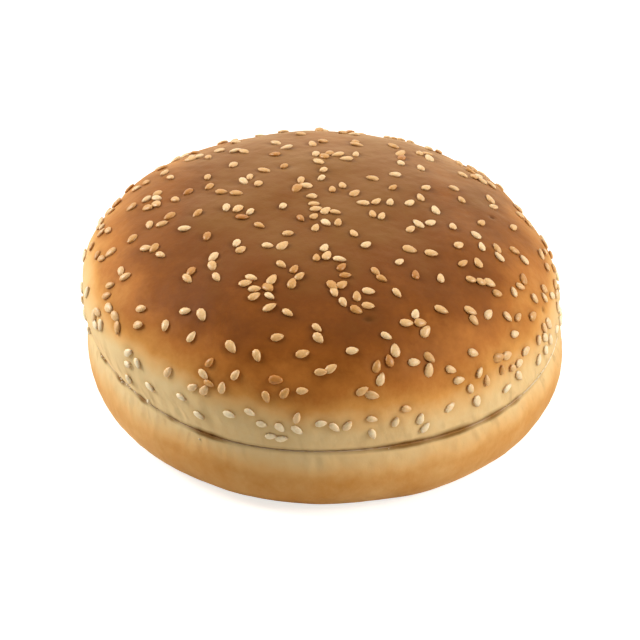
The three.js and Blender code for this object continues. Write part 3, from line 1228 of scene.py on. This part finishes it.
@dataclass
class LooseCrumbs:
    """Small crumbs that cling along the cut, most of them towards the bun's left and right."""

    crown: Crown
    heel: Heel
    count: int = 110
    smallest: float = 0.15
    largest: float = 0.95
    smallness: float = 2.5  # the power of the draw, which makes most of them small
    tries: int = 6  # draws for each crumb
    likely: tuple[float, float] = (0.06, 0.94)  # all round, and more to the left and right
    swept_side: Bias = Bias(340.0, 0.8)  # where few are left
    on_crown: float = 0.65  # the share on the crown
    strewn: tuple[float, float] = (1.2, 0.45)  # the gamma draw of the distance from the cut
    into_cut: float = 0.3  # how far past the edge the nearest lie
    lumps: tuple[float, float] = (0.6, 1.25)
    flatness: tuple[float, float] = (0.5, 1.0)
    browned: tuple[float, float] = (0.0, 0.35)
    sides: int = 7
    ring_angles: tuple[float, ...] = (45.0, 90.0, 135.0)

    def build(self, finish: bpy.types.Material) -> bpy.types.Object:
        """Builds the crumbs as one mesh: balls whose points are each moved in or out at random.

        Args:
            finish: The crumb's finish.

        Returns:
            The crumbs' object.
        """
        rng = np.random.default_rng(RandomStart.CRUMBS)
        azimuth = rng.uniform(0.0, FULL_TURN, self.tries * self.count)
        sides = np.cos(azimuth) ** 4
        likely = self.likely[0] + self.likely[1] * sides * (1.0 - self.swept_side.at(azimuth))
        azimuth = azimuth[rng.random(azimuth.size) < likely][: self.count]
        count = azimuth.size
        above = rng.random(count) < self.on_crown
        away = rng.gamma(*self.strewn, count)
        upper = self.crown.surface(self.crown.crust_length() - away + self.into_cut, azimuth)
        lower = self.heel.surface(self.heel.edge_length() + away - self.into_cut, azimuth)
        centres = np.where(above[:, None], upper, lower)
        radii = self.smallest + (self.largest - self.smallest) * rng.random(count) ** self.smallness
        u, v = ring_grid(self.sides, self.ring_angles)
        body = np.stack([np.cos(u) * np.sin(v), np.sin(u) * np.sin(v), np.cos(v)], axis=-1).reshape(-1, 3)
        ball = np.concatenate([[[0.0, 0.0, 1.0]], body, [[0.0, 0.0, -1.0]]])
        lumps = rng.uniform(*self.lumps, (count, len(ball), 1))
        flat = rng.uniform(*self.flatness, (count, 1, 3))
        points = centres[:, None, :] + ball[None] * lumps * flat * radii[:, None, None]
        shade = np.repeat(rng.uniform(*self.browned, count), len(ball))
        faces = repeated_faces(len(self.ring_angles), self.sides, count)
        return make_piece("loose_crumbs", points.reshape(-1, 3), faces, {Field.SHADE: shade}, [finish])


# Finishes


def linear(code: str) -> tuple[float, float, float, float]:
    """Turns an sRGB hex colour such as "d9a066" into linear light, by the sRGB curve.

    Args:
        code: The colour.

    Returns:
        Red, green, blue and alpha.
    """
    values = [int(code[i : i + 2], 16) / 255 for i in (0, 2, 4)]
    r, g, b = (v / 12.92 if v <= 0.04045 else ((v + 0.055) / 1.055) ** 2.4 for v in values)
    return (r, g, b, 1.0)


def per_metre(size: float) -> float:
    """Returns the texture scale at which a pattern's features are a size in mm."""
    return 1.0 / (size * MM)


def add_node(
    tree: bpy.types.NodeTree,
    kind: str,
    inputs: Mapping[str | int, Any] | None = None,
    stops: Sequence[tuple[float, str]] = (),
    **settings: Any,
) -> bpy.types.Node:
    """Adds a node with its settings, its input values or links, and a colour ramp's stops.

    Of the numbered inputs, 1 to 4 of Map Range are the range that it reads and the one
    that it gives, and 0 of Mix is the share, with what it mixes in the other two.

    Args:
        tree: The material's or world's node tree.
        kind: The node's type without the ShaderNode prefix.
        inputs: A value, an output to link, or a node whose first output is linked, by name or number.
        stops: Positions and sRGB hex colours of a colour ramp.
        **settings: Properties of the node.

    Returns:
        The node.
    """
    node = tree.nodes.new("ShaderNode" + kind)
    for name, value in settings.items():
        setattr(node, name, value)
    for key, value in (inputs or {}).items():
        source = value.outputs[0] if isinstance(value, bpy.types.Node) else value
        if isinstance(source, bpy.types.NodeSocket):
            tree.links.new(source, node.inputs[key])
        else:
            node.inputs[key].default_value = source
    for number, (position, code) in enumerate(stops):
        elements = node.color_ramp.elements
        stop = elements[number] if number < 2 else elements.new(position)
        stop.position = position
        stop.color = linear(code)
    return node


@dataclass(frozen=True)
class Pattern:
    """A noise pattern: the size of its features in mm, its detail and its roughness."""

    size: float
    detail: float
    roughness: float = 0.5

    def inputs(self, place: bpy.types.Node | bpy.types.NodeSocket) -> dict[str, Any]:
        """Returns the inputs of the noise node that draws the pattern."""
        texture = {"Scale": per_metre(self.size), "Detail": self.detail, "Roughness": self.roughness}
        return {"Vector": place, **texture}


@dataclass(frozen=True)
class Change:
    """How one number becomes another: from low to high in the first, it goes from start to end."""

    low: float
    high: float
    start: float
    end: float

    def inputs(self, value: bpy.types.Node | bpy.types.NodeSocket) -> dict[str | int, Any]:
        """Returns the inputs of the range node that changes the value."""
        return {"Value": value, 1: self.low, 2: self.high, 3: self.start, 4: self.end}


@dataclass(frozen=True)
class Scatter:
    """Light that goes in and comes out nearby: its share, its reach in mm, and the reach of each colour."""

    share: float
    size: float
    colours: tuple[float, float, float]

    def inputs(self) -> dict[str, Any]:
        """Returns the inputs of the shader that scatter the light."""
        reach = {"Subsurface Radius": self.colours, "Subsurface Scale": self.size * MM}
        return {"Subsurface Weight": self.share, **reach}


@dataclass(frozen=True)
class Dent:
    """Relief without geometry: its depth in mm, and how strongly it shows."""

    depth: float
    strength: float

    def inputs(self, height: bpy.types.Node) -> dict[str, Any]:
        """Returns the inputs of the bump node that raises the pattern."""
        return {"Height": height, "Distance": self.depth * MM, "Strength": self.strength}


class Finish:
    """A finish with one principled shader."""

    name: str

    def shader_inputs(self, tree: bpy.types.NodeTree) -> dict[str, Any]:
        """Adds the finish's nodes, and returns the inputs of its shader."""
        raise NotImplementedError

    def material(self) -> bpy.types.Material:
        """Makes the finish's material.

        Returns:
            The material, with its nodes linked to the output.
        """
        material = bpy.data.materials.new(self.name)
        material.use_nodes = True
        tree = material.node_tree
        tree.nodes.clear()
        shader = add_node(tree, "BsdfPrincipled", self.shader_inputs(tree))
        add_node(tree, "OutputMaterial", {"Surface": shader})
        return material


@dataclass(frozen=True)
class BakedCrust(Finish):
    """Milk-bread crust, oven baked: a thin skin that turns from cream through gold to chestnut.

    To the eye it is soft and satin where it is brown, chalky where it stayed pale, with
    cloudy patches about a centimetre wide, fine pores, and short streaks near the cut
    where the dough was drawn.
    """

    name: str = "baked_milk_bread_crust"
    stops: tuple[tuple[float, str], ...] = (
        (0.0, "e4c894"),
        (0.14, "e4bd82"),
        (0.3, "e2ae6c"),
        (0.46, "d09046"),
        (0.6, "b26c28"),
        (0.74, "894a0d"),
        (0.86, "733b07"),
        (1.0, "784816"),
    )
    # the colours that the shade field mixes in: painted contact shade round the seeds and painted shadow
    # along the cut, both with some scorch
    scorch_and_shade: tuple[tuple[float, str], ...] = ((0.1, "764c09"), (0.65, "563207"))
    dry_skin: str = "966b3a"
    patches: Pattern = Pattern(11.0, 3.0, 0.55)
    grain: Pattern = Pattern(1.6, 4.0, 0.6)
    pores: Pattern = Pattern(0.7, 2.0)
    streaks: Pattern = Pattern(2.2, 3.0)
    patch_tone: Change = Change(0.3, 0.7, -0.03, 0.03)
    grain_tone: Change = Change(0.3, 0.7, -0.022, 0.022)
    slant: float = 0.005  # radians round the axis for each mm of height
    streak_rise: float = 0.38  # the share of the height that the streaks read; less makes them longer
    streak_cover: Change = Change(0.54, 0.72, 0.0, 0.65)
    streak_depth: float = 0.35
    grain_dent: Dent = Dent(0.1, 0.6)
    pore_dent: Dent = Dent(0.035, 0.7)
    roughness: Change = Change(0.1, 0.8, 0.78, 0.56)  # by how brown it is
    ior: float = 1.42
    specular: float = 0.15
    sheen: Change = Change(0.3, 0.6, 0.56, 0.0)  # by the shade field: less sheen where painted shade and scorch lie
    sheen_roughness: float = 0.42
    sheen_tint: str = "ffd69d"
    scatter: Scatter = Scatter(0.08, 2.5, (1.0, 0.45, 0.2))

    def shader_inputs(self, tree: bpy.types.NodeTree) -> dict[str, Any]:
        """Colours the skin by its browning, then lays dry streaks, and painted shade with some scorch, over
        it.

        Args:
            tree: The material's node tree.

        Returns:
            The inputs of the shader.
        """
        place = add_node(tree, "TexCoord").outputs["Object"]
        browning, shade, torn = (
            add_node(tree, "Attribute", attribute_name=field.value).outputs["Fac"]
            for field in (Field.BROWNING, Field.SHADE, Field.TORN)
        )
        patches, grain, pores = (
            add_node(tree, "TexNoise", pattern.inputs(place))
            for pattern in (self.patches, self.grain, self.pores)
        )
        uneven = add_node(tree, "MapRange", self.patch_tone.inputs(patches))
        fine = add_node(tree, "MapRange", self.grain_tone.inputs(grain))
        both = add_node(tree, "Math", {0: uneven, 1: fine}, operation="ADD")
        baked = add_node(tree, "Math", {0: browning, 1: both}, operation="ADD", use_clamp=True)
        colour = add_node(tree, "ValToRGB", {"Fac": baked}, self.stops)

        height = add_node(tree, "SeparateXYZ", {0: place}).outputs["Z"]
        slant = add_node(tree, "Math", {0: height, 1: self.slant / MM}, operation="MULTIPLY")
        twisted = add_node(tree, "VectorRotate", {"Vector": place, "Angle": slant}, rotation_type="Z_AXIS")
        drawn = add_node(tree, "Mapping", {"Vector": twisted, "Scale": (1.0, 1.0, self.streak_rise)})
        streaks = add_node(tree, "TexNoise", self.streaks.inputs(drawn))
        streaked = add_node(tree, "MapRange", self.streak_cover.inputs(streaks))
        dry = add_node(tree, "Math", {0: streaked, 1: torn}, operation="MULTIPLY", use_clamp=True)
        skin = add_node(tree, "Mix", {0: dry, 6: colour, 7: linear(self.dry_skin)}, data_type="RGBA")
        # painted shade: the shade field darkens the skin round the seeds and along the cut, partly real
        # scorch
        burnt_and_shade = add_node(tree, "ValToRGB", {"Fac": baked}, self.scorch_and_shade)
        scorched_and_shaded = add_node(tree, "Mix", {0: shade, 6: skin.outputs[2], 7: burnt_and_shade}, data_type="RGBA")

        drawn_skin = {"Height": streaks, "Distance": self.streak_depth * MM, "Strength": torn}
        bump = add_node(tree, "Bump", drawn_skin)
        bump = add_node(tree, "Bump", {**self.grain_dent.inputs(grain), "Normal": bump})
        bump = add_node(tree, "Bump", {**self.pore_dent.inputs(pores), "Normal": bump})
        return {
            "Base Color": scorched_and_shaded.outputs[2],
            "Roughness": add_node(tree, "MapRange", self.roughness.inputs(baked)),
            "Normal": bump,
            "IOR": self.ior,
            "Specular IOR Level": self.specular,
            "Sheen Weight": add_node(tree, "MapRange", self.sheen.inputs(shade)),
            "Sheen Roughness": self.sheen_roughness,
            "Sheen Tint": linear(self.sheen_tint),
            **self.scatter.inputs(),
        }


@dataclass(frozen=True)
class OpenCrumb(Finish):
    """White bread crumb, sliced by a knife: matt, cream, and open with small round pores.

    To the eye it is soft and powdery, with a thin brown rim at the cut edge, partly dried and partly painted
    shadow inside the cut.
    """

    name: str = "white_bread_crumb"
    light: str = "f1e2c2"
    dark: str = "d8bd8c"
    # the brown mixed in by the shade field: painted shadow in the cut with the dried rim, and the loose
    # crumbs' own brown
    dried_and_shade: str = "98600f"
    pore_size: float = 1.4
    pore_edges: tuple[float, float] = (0.05, 0.55)  # where the dark hollow ends, and the light begins
    fibre: Pattern = Pattern(0.8, 4.0)
    pore_dent: Dent = Dent(0.3, 0.8)
    fibre_dent: Dent = Dent(0.12, 0.7)
    roughness: float = 0.92
    ior: float = 1.4
    scatter: Scatter = Scatter(0.15, 1.5, (1.0, 0.7, 0.4))

    def shader_inputs(self, tree: bpy.types.NodeTree) -> dict[str, Any]:
        """Colours and hollows the pores, roughens them with a fine fibre, and browns the rim, partly as
        painted shadow.

        Args:
            tree: The material's node tree.

        Returns:
            The inputs of the shader.
        """
        place = add_node(tree, "TexCoord").outputs["Object"]
        pores = add_node(tree, "TexVoronoi", {"Vector": place, "Scale": per_metre(self.pore_size)})
        fibre = add_node(tree, "TexNoise", self.fibre.inputs(place))
        stops = tuple(zip(self.pore_edges, (self.dark, self.light)))
        colour = add_node(tree, "ValToRGB", {"Fac": pores}, stops)
        shade = add_node(tree, "Attribute", attribute_name=Field.SHADE.value).outputs["Fac"]
        rim = add_node(tree, "Mix", {0: shade, 6: colour, 7: linear(self.dried_and_shade)}, data_type="RGBA")
        hollow = add_node(tree, "Bump", self.pore_dent.inputs(pores))
        ridged = {**self.fibre_dent.inputs(fibre), "Normal": hollow}
        return {
            "Base Color": rim.outputs[2],
            "Normal": add_node(tree, "Bump", ridged),
            "Roughness": self.roughness,
            "IOR": self.ior,
            **self.scatter.inputs(),
        }


@dataclass(frozen=True)
class HulledSesame(Finish):
    """Hulled sesame seed, toasted on the bun: waxy cream, a few golden, with a browner point."""

    name: str = "hulled_sesame_seed"
    stops: tuple[tuple[float, str], ...] = (
        (0.0, "f5e1bb"),
        (0.18, "ebcb9b"),
        (0.42, "deb177"),
        (0.7, "ca9350"),
        (1.0, "b67633"),
    )
    point: str = "a26c32"
    grain: Pattern = Pattern(0.6, 2.0)
    grain_tone: Change = Change(0.3, 0.7, -0.08, 0.08)
    grain_dent: Dent = Dent(0.03, 0.6)
    brown_tip: Change = Change(0.55, 1.0, 0.0, 0.55)  # by how near the point it is
    roughness: float = 0.38
    ior: float = 1.47
    scatter: Scatter = Scatter(0.2, 0.8, (1.0, 0.7, 0.4))

    def shader_inputs(self, tree: bpy.types.NodeTree) -> dict[str, Any]:
        """Colours each seed by its toast, and browns its point.

        Args:
            tree: The material's node tree.

        Returns:
            The inputs of the shader.
        """
        place = add_node(tree, "TexCoord").outputs["Object"]
        toast, along = (
            add_node(tree, "Attribute", attribute_name=field.value).outputs["Fac"]
            for field in (Field.TOAST, Field.ALONG)
        )
        grain = add_node(tree, "TexNoise", self.grain.inputs(place))
        uneven = add_node(tree, "MapRange", self.grain_tone.inputs(grain))
        tone = add_node(tree, "Math", {0: toast, 1: uneven}, operation="ADD", use_clamp=True)
        colour = add_node(tree, "ValToRGB", {"Fac": tone}, self.stops)
        tip = add_node(tree, "MapRange", self.brown_tip.inputs(along))
        body = add_node(tree, "Mix", {0: tip, 6: colour, 7: linear(self.point)}, data_type="RGBA")
        return {
            "Base Color": body.outputs[2],
            "Normal": add_node(tree, "Bump", self.grain_dent.inputs(grain)),
            "Roughness": self.roughness,
            "IOR": self.ior,
            **self.scatter.inputs(),
        }


@dataclass(frozen=True)
class PaleFloor(Finish):
    """A matt off-white board, lit evenly from below for the camera as on a light table."""

    name: str = "matt_white_board"
    colour: str = "d8d5ce"
    glow: float = 0.75
    roughness: float = 0.95

    def shader_inputs(self, tree: bpy.types.NodeTree) -> dict[str, Any]:
        """Lets the board glow to the camera's own rays alone.

        Args:
            tree: The material's node tree.

        Returns:
            The inputs of the shader.
        """
        seen = add_node(tree, "LightPath").outputs["Is Camera Ray"]
        return {
            "Base Color": linear(self.colour),
            "Roughness": self.roughness,
            "Emission Color": linear(STUDIO_WHITE),
            "Emission Strength": add_node(tree, "Math", {0: seen, 1: self.glow}, operation="MULTIPLY"),
        }


# The studio


@dataclass(frozen=True)
class Panel:
    """A square light panel that faces the bun: its side, power in watts, and places in mm."""

    side: Side
    power: float
    height: float
    away: float = 950.0
    size: float = 500.0

    def stand(self, target: Vector) -> bpy.types.Object:
        """Stands the panel on its side of the bun.

        Args:
            target: The point that it faces, in mm.

        Returns:
            The light.
        """
        name = self.side.name.lower()
        angle = math.radians(self.side.value)
        place = Vector((self.away * math.cos(angle), self.away * math.sin(angle), self.height))
        data = bpy.data.lights.new(name, "AREA")
        data.shape = "SQUARE"
        data.size = self.size * MM
        data.energy = self.power
        light = bpy.data.objects.new(name, data)
        facing = (target - place).to_track_quat("-Z", "Y").to_matrix().to_4x4()
        light.matrix_world = Matrix.Translation(place * MM) @ facing
        bpy.context.collection.objects.link(light)
        return light


@dataclass
class Studio:
    """The camera, the floor and the light."""

    elevation: float = 33.37
    distance: float = 750.0
    focal: float = 2954.0  # in pixels of the picture
    picture: int = 640
    sensor: float = 36.0
    clip: tuple[float, float] = (0.01, 100.0)  # in metres
    target: tuple[float, float, float] = (0.0, 0.0, 22.0)
    target_pixel: tuple[float, float] = (325.9, 305.7)
    roll: float = 1.30
    floor_size: float = 8000.0
    white_seen: float = 1.1  # the surround's strength as the camera sees it
    white_light: Change = Change(-0.6, 1.0, 0.09, 1.42)  # its strength as light, by the way to it
    panels: tuple[Panel, ...] = (Panel(Side.LEFT, 11.3, 600.0), Panel(Side.RIGHT, 8.4, 560.0))

    def camera(self) -> bpy.types.Object:
        """Sets the camera on the -Y side, aimed so that the target falls on its pixel.

        The aim is the target moved in the picture's plane by its pixels from the
        middle, times distance / focal, and the camera is then rolled about its view.

        Returns:
            The camera.
        """
        tilt = math.radians(self.elevation)
        forward = Vector((0.0, math.cos(tilt), -math.sin(tilt)))
        right = Vector((1.0, 0.0, 0.0))
        up = right.cross(forward)
        turn = math.radians(self.roll)
        rolled_right = right * math.cos(turn) + up * math.sin(turn)
        rolled_up = up * math.cos(turn) - right * math.sin(turn)
        across = (self.target_pixel[0] - self.picture / 2) * self.distance / self.focal
        below = (self.target_pixel[1] - self.picture / 2) * self.distance / self.focal
        place = Vector(self.target) - forward * self.distance
        aim = Vector(self.target) - rolled_right * across + rolled_up * below
        view = (aim - place).normalized()
        side = view.cross(rolled_up).normalized()
        axes = Matrix((side, side.cross(view), -view)).transposed().to_4x4()
        data = bpy.data.cameras.new("camera")
        data.sensor_width = self.sensor
        data.lens = self.focal / self.picture * data.sensor_width
        data.clip_start, data.clip_end = self.clip
        camera = bpy.data.objects.new("camera", data)
        camera.matrix_world = Matrix.Translation(place * MM) @ axes
        bpy.context.collection.objects.link(camera)
        bpy.context.scene.camera = camera
        return camera

    def floor(self) -> bpy.types.Object:
        """Lays a flat board under the bun.

        Returns:
            The floor.
        """
        half = self.floor_size / 2
        corners = np.array([[-half, -half, 0.0], [half, -half, 0.0], [half, half, 0.0], [-half, half, 0.0]])
        floor = make_piece("floor", corners, [[0, 1, 2, 3]], {}, [PaleFloor().material()])
        return floor

    def world(self) -> None:
        """Surrounds the bun with white that is dimmer on the camera's side, and plain white to the camera."""
        world = bpy.data.worlds.new("white_studio")
        bpy.context.scene.world = world
        world.use_nodes = True
        tree = world.node_tree
        tree.nodes.clear()
        way = add_node(tree, "TexCoord").outputs["Generated"]
        dark = math.radians(Side.DARK.value)
        from_dark = (-math.cos(dark), -math.sin(dark), 0.0)
        axis = add_node(tree, "VectorMath", {0: way, 1: from_dark}, operation="DOT_PRODUCT").outputs["Value"]
        front = add_node(tree, "MapRange", self.white_light.inputs(axis))
        seen = add_node(tree, "LightPath").outputs["Is Camera Ray"]
        strength = add_node(tree, "Mix", {0: seen, 2: front, 3: self.white_seen}, data_type="FLOAT")
        light = add_node(tree, "Background", {"Color": linear(STUDIO_WHITE), "Strength": strength})
        output = add_node(tree, "OutputWorld", {"Surface": light})
        output.is_active_output = True

    def build(self) -> None:
        """Sets up the whole studio, with colours shown as they are."""
        self.camera()
        self.floor()
        self.world()
        for panel in self.panels:
            panel.stand(Vector(self.target))
        bpy.context.scene.view_settings.view_transform = "Standard"
        bpy.context.scene.view_settings.look = "None"


def report(piece: bpy.types.Object) -> None:
    """Logs a piece's name, face count and size in mm."""
    size = ", ".join(f"{side / MM:.1f}" for side in piece.dimensions)
    log.info("%s: %d faces, %s mm", piece.name, len(piece.data.polygons), size)


def main() -> None:
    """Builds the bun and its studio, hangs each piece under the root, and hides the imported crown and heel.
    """
    logging.basicConfig(level=logging.INFO, format="%(name)s: %(message)s")
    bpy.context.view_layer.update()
    Studio().build()
    form = BunForm()
    crown = Crown(form=form)
    heel = Heel(form=form)
    seeds = SesameSeeds(crown)
    places = seeds.places()
    crust = BakedCrust().material()
    crumb = OpenCrumb().material()

    crown_bread = crown.build(places, [crust, crumb])
    heel_bread = heel.build([crust, crumb])
    sesame = seeds.build(places, HulledSesame().material())
    crumbs = LooseCrumbs(crown, heel).build(crumb)

    for piece, slot in (
        (crown_bread, "crown_crust"),
        (heel_bread, "heel_crust"),
        (sesame, "sesame"),
        (crumbs, "crumb"),
    ):
        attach(piece, "root")
        report(piece)
    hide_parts("crown")
    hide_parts("crown")
    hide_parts("heel")


if __name__ == "__main__":
    main()
